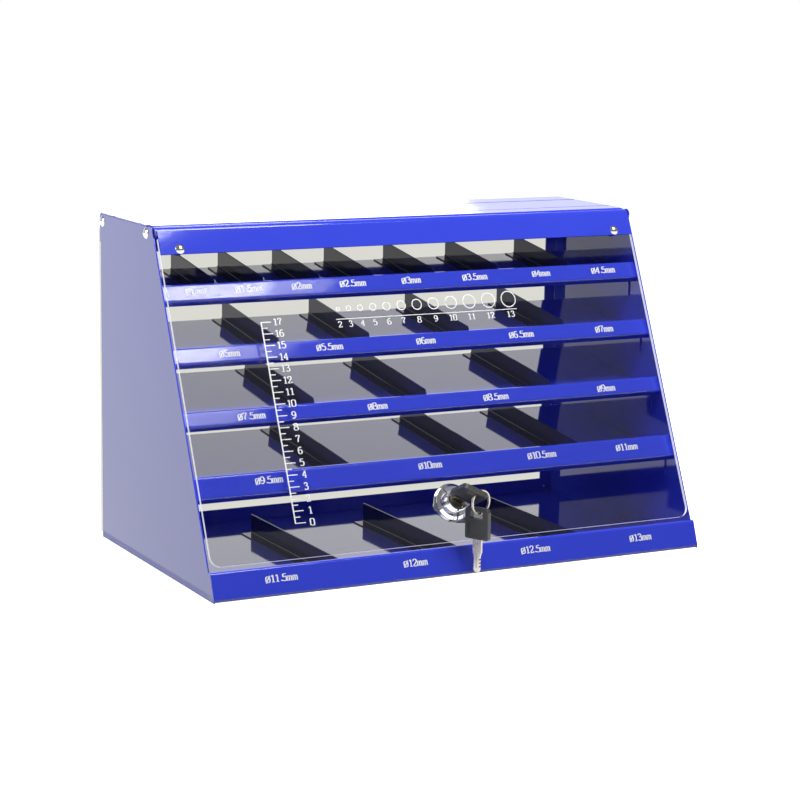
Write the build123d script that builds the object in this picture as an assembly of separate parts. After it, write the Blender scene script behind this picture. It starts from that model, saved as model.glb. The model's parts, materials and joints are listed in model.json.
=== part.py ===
from build123d import *
from math import atan, cos, radians, sin, tan
import os

# Drill bit display stand: a folded sheet steel rack with five sloping rows of compartments,
# a clear front that hinges up and a cam lock with two keys.
# X runs to the right, the front faces -Y and Z is up. The origin is the centre of the base.

# Overall sizes
width = 460.0
base_depth = 250.0
top_depth = 121.0
panel_height = 285.0

# Sheet metal
sheet = 1.2
bend = 1.0
running_gap = 0.05
seam = 0.8

# Side panels and their rear posts
post_width = 12.5
post_top = 261.0

# Bottom panel
bottom_lip_height = 23.0
bottom_lip_reach = 2.5
bottom_lip_lean = 8.5
lip_return = 3.0
upstand_height = 14.0
upstand_end_gap = 1.3

# Trays, listed from the top row down
tray_drop = 46.2
lowest_tray_height = 91.9
tray_lip_heights = [12.4, 11.8, 11.0, 16.4]
tray_slopes = [8.5, 8.25, 7.9, 6.5]
lip_setback_top = 5.5
lip_setback_fold = 4.3
fold_run = 3.5
fold_drop = 4.7
rear_opening = 34.0
end_flange_depth = 15.0
end_flange_setback = 19.0

# Dividers: shares of each row's width, from the left, and the folded strip itself
row_shares = [
    [50.8, 43.7, 51.7, 50.5, 59.1, 63.5, 72.5, 65.8],
    [98.6, 83.7, 96.3, 95.9, 83.1],
    [120.6, 105.5, 122.7, 108.8],
    [145.1, 130.6, 92.6, 89.3],
    [121.8, 111.0, 118.0, 106.8],
]
divider_sheet = 1.0
divider_height = 17.0
divider_foot = 11.0
divider_bend = 0.8
divider_front_gap = 1.2
divider_rear_gap = 1.0
bottom_divider_rear_gap = 47.0
foot_setback = 1.8

# Rails and panel on top
rail_overhang = 0.6
rear_rail_depth = 31.0
rear_rail_drop = 23.0
front_rail_depth = 23.0
front_rail_setback = 4.0
front_rail_drop = 20.0
notch_length = 9.0
notch_width = 2.4
top_flange = 8.0
tab_height = 18.8
rear_tab_length = 15.0
front_tab_length = 18.0
top_tab_inset = 10.0
top_tab_height = 9.0

# Rivets
rail_rivet_head = 9.5
rail_rivet_crown = 2.2
rail_rivet_shank = 4.0
rail_rivet_tail = 5.6
rivet_tail_length = 1.2
rear_rivet_inset = 6.3
rear_rivet_drop = 5.8
front_rivet_inset = 9.0
front_rivet_drop = 5.4
post_rivet_head = 4.0
post_rivet_shank = 2.4
post_rivet_crown = 1.0
post_rivet_inset = 8.3
post_rivet_height = 6.0

# Hinge and clear front
rod_diameter = 6.0
rod_bore = 4.0
rod_drop = 3.7
rod_setback = 0.6
rod_play = 0.1
ear_wall = 1.9
lid_side_gap = 0.5
band_roll_angle = 300.0
band_height = 20.3
pane_thickness = 3.0
pane_top_gap = 6.5
pane_floor_height = 25.6
pane_corner = 9.0
band_screw_inset = 17.6
band_screw_rise = 4.3
band_screw_head = 8.5
band_screw_crown = 2.2
band_screw_shank = 4.0
band_hole_play = 0.25
nut_flats = 7.0
nut_height = 3.2
screw_stub = 1.0

# Cam lock, with distances along its axis measured out from the front plane
lock_x = -4.0
lock_height = 55.5
lock_angle = 30.0
barrel_rim = 15.5
barrel_thread = 19.0
barrel_rear = -11.0
barrel_bevel = 0.8
barrel_flange = 24.0
barrel_flange_thickness = 2.0
pane_hole = 20.0
washer_diameter = 33.0
washer_thickness = 0.8
ring_nut_diameter = 31.0
ring_nut_height = 5.2
ring_nut_bevel = 2.4
ring_nut_slots = 5
ring_nut_slot_width = 1.5
ring_nut_slot_depth = 2.6
ring_nut_turn = 14.0
plug_diameter = 13.5
plug_recess = 1.0
cap_thickness = 1.2
cap_window = (10.0, 3.6)
keyway_size = (9.2, 2.6)
keyway_bottom = -9.6
plug_rear = -11.4
tail_square = 6.0
tail_end_gap = 0.1
stop_disc_diameter = 18.0
stop_disc_thickness = 1.5
cam_thickness = 1.5
cam_width = 15.0
cam_hub_end = 9.0
cam_fold_start = 16.0
cam_fold_end = 22.0
cam_tip_offset = -3.2
cam_reach = 38.4
cam_hub_flat = 0.5
cam_tip_radius = 2.0
cam_screw_head = 9.0
cam_screw_head_height = 2.6
cam_screw_shank = 3.4
cam_screw_length = 4.0
cam_screw_slot = 1.0

# Keys and ring
key_stand_off = 7.0
key_head_size = (23.5, 27.0)
key_head_thickness = 4.6
key_head_corner = 4.0
key_edge_radius = 0.6
key_hole_width = 12.0
key_hole_length = 6.5
key_bar = 3.2
key_panel_size = (16.0, 11.5)
key_panel_depth = 0.5
key_panel_rise = 3.0
blade_width = 8.6
blade_thickness = 2.0
blade_length = 28.0
blade_tang = 12.0
blade_shoulder = 11.0
blade_taper = 3.5
blade_narrow_width = 5.8
blade_tip_width = 3.0
blade_tip_length = 2.0
blade_groove_width = 1.4
blade_groove_depth = 0.5
blade_groove_end = 24.0
notch_places = [-17.0, -20.0, -23.0]
notch_depth = 0.6
notch_half_width = 1.0
ring_diameter = 21.0
ring_wire = 1.6
ring_width = 2.0
ring_edge_radius = 0.3
ring_heading = 15.9
ring_place = 18.0
ring_hang = 4.0
spare_heading = -65.0
spare_drop = 1.6
spare_shift = 2.4

# Places worked out from the sizes above
half_width = width / 2
inner_half = half_width - sheet
rear_y = base_depth / 2
base_front_y = -base_depth / 2
front_slope = (base_depth - top_depth) / panel_height
tilt = atan(front_slope)
top_front_y = base_front_y + front_slope * panel_height
top_z = panel_height + sheet
tray_rear_y = rear_y - rear_opening
tray_pitch = (panel_height - tray_drop - lowest_tray_height) / 3
lid_half = inner_half - sheet - lid_side_gap

# Directions: straight out of the front plane and straight up its slope
outward = Vector(0, -cos(tilt), sin(tilt))
upslope = Vector(0, sin(tilt), cos(tilt))


def front_y(z):
    return base_front_y + front_slope * z


def on_front(x, z, offset):
    # Point at height z on the front plane, then moved out of the plane by the offset.
    return Vector(x, front_y(z), z) + outward * offset


def corner_points(before, corner, after):
    # One point for a sharp corner, or the start, middle and end of its arc.
    point = Vector(corner[0], corner[1])
    radius = corner[2]
    if radius == 0:
        return [point]
    back = (Vector(before[0], before[1]) - point).normalized()
    ahead = (Vector(after[0], after[1]) - point).normalized()
    half_angle = radians(back.get_angle(ahead)) / 2
    reach = radius / tan(half_angle)
    centre = point + (back + ahead).normalized() * (radius / sin(half_angle))
    middle = centre + (point - centre).normalized() * radius
    return [point + back * reach, middle, point + ahead * reach]


def outline_face(corners):
    # Flat face whose corners are (u, v, radius).
    count = len(corners)
    groups = []
    for index in range(count):
        groups.append(corner_points(corners[index - 1], corners[index], corners[(index + 1) % count]))
    edges = []
    for index in range(count):
        group = groups[index]
        if len(group) == 3:
            edges.append(ThreePointArc(*group))
        following = groups[(index + 1) % count][0]
        if (following - group[-1]).length > 0.001:
            edges.append(Line(group[-1], following))
    return Face(Wire(edges))


def prism(plane, corners, length):
    # Solid that starts on the plane and runs along its normal.
    return extrude(plane * outline_face(corners), amount=length, dir=plane.z_dir)


def sharp(points):
    return [(u, v, 0) for u, v in points]


def folded(path, thickness=sheet, inside=bend):
    # Outline of folded sheet: one face follows the path and the sheet lies to its left.
    directions = []
    for start, end in zip(path, path[1:]):
        directions.append((Vector(*end) - Vector(*start)).normalized())
    normals = [Vector(-d.Y, d.X) for d in directions]
    face = []
    other = []
    last = len(path) - 1
    for index, point in enumerate(path):
        before = normals[max(index - 1, 0)]
        after = normals[min(index, last - 1)]
        shift = (before + after) * (thickness / (1 + before.dot(after)))
        moved = Vector(*point) + shift
        face_radius = 0
        other_radius = 0
        if 0 < index < last:
            turn = directions[index - 1].cross(directions[index]).Z
            face_radius = inside + thickness if turn > 0 else inside
            other_radius = inside if turn > 0 else inside + thickness
        face.append((point[0], point[1], face_radius))
        other.append((moved.X, moved.Y, other_radius))
    return face + other[::-1]


def across(x_low, x_high, corners):
    # Outline of (y, z, radius) corners carried along X.
    return prism(Plane.YZ.offset(x_low), corners, x_high - x_low)


def block(x_low, x_high, y_low, y_high, z_low, z_high):
    size = Box(x_high - x_low, y_high - y_low, z_high - z_low)
    return Pos((x_low + x_high) / 2, (y_low + y_high) / 2, (z_low + z_high) / 2) * size


def both_sides(shape):
    return shape + mirror(shape, about=Plane.YZ)


def drum(plane, diameter, start, end):
    low = (Align.CENTER, Align.CENTER, Align.MIN)
    return plane.offset(start) * Cylinder(diameter / 2, end - start, align=low)


def dome(plane, diameter, crown):
    # Spherical cap that stands on the plane.
    ball = (diameter ** 2 / 4 + crown ** 2) / (2 * crown)
    return (plane.offset(crown - ball) * Sphere(ball)) & drum(plane, diameter, 0, crown)


def save(name, shape):
    shape.label = name
    export_step(shape, "parts/" + name + ".step")


os.makedirs("parts", exist_ok=True)


# Rivet axes, shared by the rivets and by the holes that they fill
rear_rivet_place = (rear_y - rear_rivet_inset, panel_height - rear_rivet_drop)
front_rail_y = top_front_y + front_rail_setback
front_rivet_place = (front_rail_y + front_rivet_inset, panel_height - front_rivet_drop)
rail_rivet_planes = []
for rivet_y, rivet_z in (rear_rivet_place, front_rivet_place):
    for side in (-1, 1):
        origin = (side * half_width, rivet_y, rivet_z)
        rail_rivet_planes.append(Plane(origin=origin, x_dir=(0, 1, 0), z_dir=(side, 0, 0)))

post_rivet_planes = []
upstand_face_y = rear_y - 2 * sheet
for side in (-1, 1):
    origin = (side * (half_width - post_rivet_inset), upstand_face_y, post_rivet_height)
    post_rivet_planes.append(Plane(origin=origin, x_dir=(1, 0, 0), z_dir=(0, -1, 0)))


def rail_rivet_holes():
    holes = [drum(plane, rail_rivet_shank, -3 * sheet, sheet) for plane in rail_rivet_planes]
    return Part() + holes


def post_rivet_holes():
    holes = [drum(plane, post_rivet_shank, -3 * sheet, sheet) for plane in post_rivet_planes]
    return Part() + holes


# Side panels: a sloping plate with a post folded inwards along its rear edge
def side_plate(x_low, x_high):
    corners = sharp([
        (rear_y, 0),
        (base_front_y, 0),
        (top_front_y, panel_height),
        (rear_y, panel_height),
    ])
    return across(x_low, x_high, corners)


def right_side_panel():
    plate = side_plate(inner_half, half_width)
    fold_y = rear_y - bend - sheet
    plate -= block(inner_half - 1, half_width + 1, fold_y, rear_y + 1, -1, post_top)
    path = [(half_width, fold_y), (half_width, rear_y), (half_width - post_width, rear_y)]
    post = prism(Plane.XY, folded(path), post_top)
    return plate + post - rail_rivet_holes() - post_rivet_holes()


right_panel = right_side_panel()
save("right_side_panel", right_panel)
save("left_side_panel", mirror(right_panel, about=Plane.YZ))


# Bottom panel: floor, leaning front lip across the full width, and a rear upstand
bottom_lip_foot = (base_front_y - bottom_lip_reach, 0)
bottom_lip_top = (bottom_lip_foot[0] + bottom_lip_lean, bottom_lip_height)


def bottom_panel():
    path = [
        (bottom_lip_top[0] + lip_return, bottom_lip_top[1]),
        bottom_lip_top,
        bottom_lip_foot,
        (rear_y - sheet, 0),
        (rear_y - sheet, upstand_height),
    ]
    shape = across(-half_width, half_width, folded(path))
    room = side_plate(inner_half, half_width + 1)
    room += block(inner_half - upstand_end_gap, half_width + 1, rear_y - 4, rear_y + 1, -1, panel_height)
    shape -= both_sides(room)
    lip_inner = bottom_lip_foot[0] + sheet / 2
    plate_top = bottom_lip_height - sheet / 2
    lean = bottom_lip_lean / bottom_lip_height
    end_plate = sharp([
        (lip_inner, 0),
        (base_front_y, 0),
        (front_y(plate_top), plate_top),
        (lip_inner + lean * plate_top, plate_top),
    ])
    shape += both_sides(across(inner_half, half_width, end_plate))
    return shape - post_rivet_holes()


save("bottom_panel", bottom_panel())


# Rows: the lip and floor lines that each tray and its dividers share
class Row:
    def __init__(self, lip_top, lip_fold, floor_start, slope, divider_rear):
        self.lip_top = lip_top
        self.lip_fold = lip_fold
        self.floor_start = floor_start
        self.slope = radians(slope)
        self.divider_rear = divider_rear

    def under_floor(self, y):
        return self.floor_start[1] + tan(self.slope) * (y - self.floor_start[0])

    def floor(self, y):
        return self.under_floor(y) + sheet / cos(self.slope)

    def lip_y(self, z):
        lean = (self.lip_top[0] - self.lip_fold[0]) / (self.lip_top[1] - self.lip_fold[1])
        return self.lip_top[0] + lean * (z - self.lip_top[1])


def tray_row(index):
    top_height = panel_height - tray_drop - index * tray_pitch
    fold_height = top_height - tray_lip_heights[index]
    lip_top = (front_y(top_height) + lip_setback_top, top_height)
    lip_fold = (front_y(fold_height) + lip_setback_fold, fold_height)
    floor_start = (lip_fold[0] + fold_run, lip_fold[1] - fold_drop)
    rear = tray_rear_y - divider_rear_gap
    return Row(lip_top, lip_fold, floor_start, tray_slopes[index], rear)


rows = [tray_row(index) for index in range(len(tray_slopes))]
bottom_rear = rear_y - bottom_divider_rear_gap
rows.append(Row(bottom_lip_top, bottom_lip_foot, bottom_lip_foot, 0, bottom_rear))


# Trays: folded front lip, sloping floor and an end flange folded down against each side panel
def tray(row):
    path = [
        (row.lip_top[0] + lip_return, row.lip_top[1]),
        row.lip_top,
        row.lip_fold,
        row.floor_start,
        (tray_rear_y, row.under_floor(tray_rear_y)),
    ]
    shape = across(-inner_half, inner_half, folded(path))
    flange_front = front_y(row.floor_start[1]) + end_flange_setback
    flange = sharp([
        (flange_front, row.under_floor(flange_front) - end_flange_depth),
        (tray_rear_y, row.under_floor(tray_rear_y) - end_flange_depth),
        (tray_rear_y, row.under_floor(tray_rear_y) + sheet / 2),
        (flange_front, row.under_floor(flange_front) + sheet / 2),
    ])
    return shape + both_sides(across(inner_half - sheet, inner_half, flange))


for number, row in enumerate(rows[:-1], start=1):
    save(f"tray_{number}", tray(row))


# Dividers: an upright web with a foot folded to the left, cut parallel to the lip in front
def divider(row, x):
    top_clear = row.lip_top[1] + divider_height
    front_gap = lip_return + divider_front_gap
    fold_height = row.lip_fold[1] + sheet
    foot_front = max(row.floor_start[0] + 2 * sheet, row.lip_y(fold_height) + front_gap)
    side_view = sharp([
        (foot_front, row.floor(foot_front) - sheet),
        (row.lip_y(fold_height) + front_gap, fold_height),
        (row.lip_y(top_clear) + front_gap, top_clear),
        (row.divider_rear, row.floor(row.divider_rear) + 2 * divider_height),
        (row.divider_rear, row.floor(row.divider_rear) - sheet),
    ])
    behind = row.divider_rear + divider_height
    along_floor = Vector(0, -cos(row.slope), -sin(row.slope))
    section_plane = Plane(origin=(x + divider_sheet / 2, behind, row.floor(behind)),
                          x_dir=(1, 0, 0), z_dir=along_floor)
    path = [(-divider_foot, 0), (0, 0), (0, divider_height * cos(row.slope))]
    strip = prism(section_plane, folded(path, divider_sheet, divider_bend), 1.5 * base_depth)
    shape = strip & across(x - 2 * divider_foot, x + divider_foot, side_view)
    foot_rear = row.divider_rear - foot_setback
    foot_edge = x - divider_sheet / 2 - divider_bend
    low = row.floor(foot_rear) - sheet
    return shape - block(x - 2 * divider_foot, foot_edge, foot_rear, rear_y, low, low + divider_height)


for row_number, (row, shares) in enumerate(zip(rows, row_shares), start=1):
    running = 0
    for number, share in enumerate(shares[:-1], start=1):
        running += share
        place = -inner_half + 2 * inner_half * running / sum(shares)
        save(f"divider_{row_number}_{number}", divider(row, place))


# Rear rail: top strip with a rear drop flange and end tabs riveted to the side panels
def rear_rail():
    path = [
        (rear_y, panel_height - rear_rail_drop),
        (rear_y, top_z),
        (rear_y - rear_rail_depth, top_z),
    ]
    shape = across(-half_width + rail_overhang, half_width - rail_overhang, folded(path))
    side_room = block(inner_half, half_width + 1, 0, rear_y + 1, 0, panel_height)
    shape -= both_sides(side_room)
    tab = block(inner_half - sheet, inner_half, rear_y - rear_tab_length, rear_y - sheet / 2,
                panel_height - tab_height, panel_height + sheet / 2)
    shape += both_sides(tab)
    return shape - rail_rivet_holes()


save("rear_rail", rear_rail())

# Hinge axis, just behind the front plane at its top edge
hinge_z = panel_height - rod_drop
hinge_point = on_front(0, hinge_z, 0) - outward * rod_setback


# Front rail: top strip with a front drop flange, end tabs and forward ears for the hinge rod
def front_rail():
    path = [
        (front_rail_y + front_rail_depth, top_z),
        (front_rail_y, top_z),
        (front_rail_y, panel_height - front_rail_drop),
    ]
    shape = across(-half_width + rail_overhang, half_width - rail_overhang, folded(path))
    side_room = block(inner_half, half_width + 1, 0, rear_y, 0, panel_height)
    notch = block(half_width - rail_overhang - notch_width, half_width, front_rail_y - 1,
                  front_rail_y + notch_length, panel_height, top_z + 1)
    shape -= both_sides(side_room + notch)
    tab = block(inner_half - sheet, inner_half, front_rail_y + sheet / 2,
                front_rail_y + front_tab_length, panel_height - tab_height, panel_height + sheet / 2)
    ear_plane = Plane(origin=(inner_half - sheet, hinge_point.Y, hinge_point.Z),
                      x_dir=(0, 1, 0), z_dir=(1, 0, 0))
    ear_radius = rod_diameter / 2 + ear_wall
    ear = drum(ear_plane, 2 * ear_radius, 0, sheet)
    ear += block(inner_half - sheet, inner_half, hinge_point.Y, front_rail_y + 2 * sheet,
                 hinge_point.Z - ear_radius, panel_height)
    shape += both_sides(tab + ear)
    rod_room = drum(Plane.YZ, rod_diameter + 2 * running_gap, -half_width, half_width)
    return shape - Pos(0, hinge_point.Y, hinge_point.Z) * rod_room - rail_rivet_holes()


save("front_rail", front_rail())


# Top panel between the two rails, with tabs down inside the side panels
def top_panel():
    rear = rear_y - rear_rail_depth - seam
    front = front_rail_y + front_rail_depth + seam
    path = [(rear, top_z - top_flange), (rear, top_z), (front, top_z), (front, top_z - top_flange)]
    shape = across(-half_width + rail_overhang, half_width - rail_overhang, folded(path))
    side_room = block(inner_half, half_width + 1, 0, rear_y, 0, panel_height)
    shape -= both_sides(side_room)
    tab = block(inner_half - sheet, inner_half, front + top_tab_inset, rear - top_tab_inset,
                panel_height - top_tab_height, panel_height + sheet / 2)
    return shape + both_sides(tab)


save("top_panel", top_panel())


# Rivets: a domed head outside, a shank through both sheets and a set tail inside
def rivet(plane, head, crown, shank, tail, grip):
    body = dome(plane, head, crown)
    body += drum(plane, shank, -grip, 0)
    return body + drum(plane, tail, -grip - rivet_tail_length, -grip)


rail_rivets = []
for plane in rail_rivet_planes:
    rail_rivets.append(rivet(plane, rail_rivet_head, rail_rivet_crown, rail_rivet_shank,
                             rail_rivet_tail, 2 * sheet))
save("rail_rivets", Compound(children=rail_rivets))

post_rivets = []
for plane in post_rivet_planes:
    post_rivets.append(rivet(plane, post_rivet_head, post_rivet_crown, post_rivet_shank,
                             post_rivet_head, 2 * sheet))
save("post_rivets", Compound(children=post_rivets))


# Hinge rod, a tube held in the ears of the front rail
hinge_axis_plane = Plane(origin=(0, hinge_point.Y, hinge_point.Z), x_dir=(0, 1, 0), z_dir=(1, 0, 0))
rod = drum(hinge_axis_plane, rod_diameter, -inner_half, inner_half)
save("hinge_rod", rod - drum(hinge_axis_plane, rod_bore, -half_width, half_width))

# Faces of the clear front and the band on it, as offsets from the front plane
roll_inner = rod_diameter / 2 + rod_play
pane_outer = roll_inner - rod_setback
pane_inner = pane_outer - pane_thickness
hinge_rise = hinge_z / cos(tilt) + rod_setback * tan(tilt)
slope_frame = Plane(origin=(0, base_front_y, 0), x_dir=(1, 0, 0), z_dir=outward)
band_screw_place = hinge_rise - band_height + band_screw_rise
band_screw_planes = []
for side in (-1, 1):
    origin = slope_frame.from_local_coords((side * (lid_half - band_screw_inset), band_screw_place, 0))
    band_screw_planes.append(Plane(origin=origin, x_dir=(1, 0, 0), z_dir=outward))


# Lid band: a strip along the top of the clear front, rolled round the hinge rod
def lid_band():
    profile_origin = (lid_half, hinge_point.Y, hinge_point.Z)
    profile_plane = Plane(origin=profile_origin, x_dir=outward, z_dir=(-1, 0, 0))
    inner = roll_inner
    outer = roll_inner + sheet

    def polar(radius, angle):
        return Vector(radius * cos(radians(angle)), radius * sin(radians(angle)))

    end = band_roll_angle
    edges = [
        Line(Vector(inner, -band_height), polar(inner, 0)),
        ThreePointArc(polar(inner, 0), polar(inner, end / 2), polar(inner, end)),
        Line(polar(inner, end), polar(outer, end)),
        ThreePointArc(polar(outer, end), polar(outer, end / 2), polar(outer, 0)),
        Line(polar(outer, 0), Vector(outer, -band_height)),
        Line(Vector(outer, -band_height), Vector(inner, -band_height)),
    ]
    shape = extrude(profile_plane * Face(Wire(edges)), amount=2 * lid_half, dir=profile_plane.z_dir)
    for plane in band_screw_planes:
        shape -= drum(plane, band_screw_shank + 2 * band_hole_play, pane_inner, 2 * pane_outer + sheet)
    return shape


save("lid_band", lid_band())

# Cam lock axis and the frames that the lock and the key share
lock_centre = on_front(lock_x, lock_height, 0)
lock_across = Vector(1, 0, 0) * cos(radians(lock_angle)) - upslope * sin(radians(lock_angle))
lock_frame = Plane(origin=lock_centre, x_dir=lock_across, z_dir=outward)
edge_frame = Plane(origin=lock_centre, x_dir=lock_across, z_dir=lock_across.cross(outward))


# Clear front with rounded lower corners, a lock hole and two screw holes
def front_pane():
    low = pane_floor_height / cos(tilt)
    high = hinge_rise - pane_top_gap
    corners = [
        (-lid_half, low, pane_corner),
        (lid_half, low, pane_corner),
        (lid_half, high, 0),
        (-lid_half, high, 0),
    ]
    shape = prism(slope_frame.offset(pane_inner), corners, pane_thickness)
    shape -= drum(lock_frame, pane_hole, pane_inner - 1, pane_outer + 1)
    for plane in band_screw_planes:
        shape -= drum(plane, band_screw_shank + 2 * band_hole_play, pane_inner - 1, pane_outer + 1)
    return shape


save("front_pane", front_pane())


# Domed screws through the band and the clear front, with nuts behind
band_face = pane_outer + sheet
band_screws = []
band_nuts = []
for plane in band_screw_planes:
    screw = dome(plane.offset(band_face), band_screw_head, band_screw_crown)
    screw += drum(plane, band_screw_shank, pane_inner - nut_height - screw_stub, band_face)
    band_screws.append(screw)
    nut_plane = plane.offset(pane_inner - nut_height)
    nut = extrude(nut_plane * RegularPolygon(nut_flats / 2, 6, major_radius=False),
                  amount=nut_height, dir=outward)
    band_nuts.append(nut - drum(nut_plane, band_screw_shank, -1, nut_height + 1))
save("band_screws", Compound(children=band_screws))
save("band_nuts", Compound(children=band_nuts))


# Lock barrel: threaded sleeve with a flange behind the clear front
def lock_barrel():
    shape = drum(lock_frame, barrel_thread, barrel_rear, barrel_rim)
    shape += drum(lock_frame, barrel_flange, pane_inner - barrel_flange_thickness, pane_inner)
    shape -= drum(lock_frame, plug_diameter + 2 * running_gap, barrel_rear - 1, barrel_rim + 1)
    rim = shape.edges().sort_by(lambda edge: edge.center().dot(outward))[-2:]
    return chamfer(rim, barrel_bevel)


save("lock_barrel", lock_barrel())


def lock_washer():
    washer = drum(lock_frame, washer_diameter, pane_outer, pane_outer + washer_thickness)
    return washer - drum(lock_frame, barrel_thread, pane_outer - 1, barrel_rim)


save("lock_washer", lock_washer())


# Ring nut with slots cut across its front face
def lock_ring_nut():
    low = pane_outer + washer_thickness
    high = low + ring_nut_height
    shape = drum(lock_frame, ring_nut_diameter, low, high)
    shape = chamfer(shape.edges().sort_by(lambda edge: edge.center().dot(outward))[-1],
                    ring_nut_bevel)
    shape -= drum(lock_frame, barrel_thread, low - 1, high + 1)
    slot = Pos(ring_nut_diameter / 2, 0, high) * Box(ring_nut_diameter / 2, ring_nut_slot_width,
                                                      2 * ring_nut_slot_depth)
    for index in range(ring_nut_slots):
        shape -= lock_frame * (Rot(0, 0, index * 360 / ring_nut_slots + ring_nut_turn) * slot)
    return shape


save("lock_ring_nut", lock_ring_nut())


# Plug: brass core with a blind keyway in front and a square tail behind
def local_box(frame, size, low, high):
    # Box centred on the lock axis, size across and through, from low to high along the axis.
    return frame * (Pos(0, 0, (low + high) / 2) * Box(size[0], size[1], high - low))


plug_face = barrel_rim - plug_recess
cam_rear = plug_rear - stop_disc_thickness - cam_thickness


def lock_plug():
    shape = drum(lock_frame, plug_diameter, plug_rear, plug_face - cap_thickness)
    shape += local_box(lock_frame, (tail_square, tail_square), cam_rear + tail_end_gap, plug_rear)
    shape -= local_box(lock_frame, keyway_size, keyway_bottom, barrel_rim)
    return shape - drum(lock_frame, cam_screw_shank, cam_rear - 1, cam_rear + cam_screw_length)


save("lock_plug", lock_plug())


def plug_cap():
    shape = drum(lock_frame, plug_diameter, plug_face - cap_thickness, plug_face)
    return shape - local_box(lock_frame, cap_window, 0, barrel_rim)


save("plug_cap", plug_cap())


def lock_stop_disc():
    shape = drum(lock_frame, stop_disc_diameter, plug_rear - stop_disc_thickness, plug_rear)
    return shape - local_box(lock_frame, (tail_square, tail_square), cam_rear, barrel_rim)


save("lock_stop_disc", lock_stop_disc())


# Cam: a strip cranked forward past the barrel, so that its tip reaches behind the bottom lip
def lock_cam():
    path = [
        (-cam_hub_end, cam_rear),
        (cam_fold_start, cam_rear),
        (cam_fold_end, cam_tip_offset),
        (cam_reach, cam_tip_offset),
    ]
    side_view = prism(edge_frame.offset(-cam_width / 2), folded(path, cam_thickness), cam_width)
    half = cam_width / 2
    plan = [
        (-cam_hub_end, -half, half - cam_hub_flat),
        (cam_reach, -half, cam_tip_radius),
        (cam_reach, half, cam_tip_radius),
        (-cam_hub_end, half, half - cam_hub_flat),
    ]
    shape = side_view & prism(lock_frame.offset(cam_rear - 1), plan, 2 * cam_fold_end)
    return shape - local_box(lock_frame, (tail_square, tail_square), cam_rear - 1, plug_rear)


save("lock_cam", lock_cam())


def cam_screw():
    shape = drum(lock_frame, cam_screw_head, cam_rear - cam_screw_head_height, cam_rear)
    shape += drum(lock_frame, cam_screw_shank, cam_rear, cam_rear + cam_screw_length)
    head_face = cam_rear - cam_screw_head_height
    slot = local_box(lock_frame, (2 * cam_screw_head, cam_screw_slot), head_face - 1,
                     head_face + cam_screw_slot)
    return shape - slot


save("cam_screw", cam_screw())


# Key: a flat blade moulded into a plastic head that has a square hole near its outer end
# Its own frame has X across, Y out towards the ring and Z through the thickness.
def key_blade():
    half = blade_width / 2
    narrow = blade_narrow_width / 2
    tip = blade_tip_width / 2
    right = [
        (half, blade_tang),
        (half, -blade_shoulder),
        (narrow, -blade_shoulder - blade_taper),
        (narrow, blade_tip_length - blade_length),
        (tip, -blade_length),
    ]
    left = [(-x, y) for x, y in reversed(right)]
    shape = prism(Plane.XY.offset(-blade_thickness / 2), sharp(right + left), blade_thickness)
    for place in notch_places:
        for side in (-1, 1):
            notch = sharp([
                (side * (narrow + 1), place - notch_half_width - 1),
                (side * (narrow + 1), place + notch_half_width + 1),
                (side * (narrow - notch_depth), place),
            ])
            shape -= prism(Plane.XY.offset(-blade_thickness), notch, 2 * blade_thickness)
    for side in (-1, 1):
        groove = Box(blade_groove_width, blade_groove_end, 2 * blade_groove_depth)
        shape -= Pos(0, -blade_groove_end / 2, side * blade_thickness / 2) * groove
    return shape


def key_head():
    half = key_head_size[0] / 2
    length = key_head_size[1]
    corners = [
        (-half, 0, key_head_corner / 2),
        (half, 0, key_head_corner / 2),
        (half, length, key_head_corner),
        (-half, length, key_head_corner),
    ]
    shape = prism(Plane.XY.offset(-key_head_thickness / 2), corners, key_head_thickness)
    shape = fillet(shape.edges().filter_by(Plane.XY), key_edge_radius)
    hole_centre = length - key_bar - key_hole_length / 2
    shape -= Pos(0, hole_centre, 0) * Box(key_hole_width, key_hole_length, 2 * key_head_thickness)
    panel = Box(key_panel_size[0], key_panel_size[1], 2 * key_panel_depth)
    for side in (-1, 1):
        panel_place = Pos(0, key_panel_rise + key_panel_size[1] / 2, side * key_head_thickness / 2)
        shape -= panel_place * panel
    return shape - Pos(0, blade_tang / 2, 0) * Box(blade_width, blade_tang, blade_thickness)


# The first key stands in the lock
key_origin = edge_frame.from_local_coords((0, barrel_rim + key_stand_off, 0))
key_frame = Plane(origin=key_origin, x_dir=edge_frame.x_dir, z_dir=edge_frame.z_dir)
save("key_blade", key_frame * key_blade())
save("key_head", key_frame * key_head())

# The ring goes through the key's hole and round the bar beside it, and hangs upright
side_bar = (key_hole_width + key_head_size[0]) / 4
bar_centre = key_frame.from_local_coords((side_bar, ring_place, 0))
ring_forward = Vector(cos(radians(ring_heading)), sin(radians(ring_heading)), 0)
ring_normal = Vector(0, 0, 1).cross(ring_forward)
ring_centre = bar_centre - Vector(0, 0, ring_hang)
ring_plane = Plane(origin=ring_centre, x_dir=ring_forward, z_dir=ring_normal)
ring_shape = drum(ring_plane, ring_diameter, -ring_width / 2, ring_width / 2)
ring_shape = fillet(ring_shape.edges(), ring_edge_radius)
ring_shape -= drum(ring_plane, ring_diameter - 2 * ring_wire, -ring_width, ring_width)
save("key_ring", ring_shape)

# The spare key hangs from the bottom of the ring
ring_bottom = ring_centre - Vector(0, 0, (ring_diameter - ring_wire) / 2)
spare_x = Vector(cos(radians(spare_heading)), sin(radians(spare_heading)), 0)
spare_low = ring_bottom + Vector(0, 0, spare_drop + key_bar - key_head_size[1]) - spare_x * spare_shift
spare_frame = Plane(origin=spare_low, x_dir=spare_x, z_dir=spare_x.cross(Vector(0, 0, 1)))
save("spare_key_blade", spare_frame * key_blade())
save("spare_key_head", spare_frame * key_head())

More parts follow.
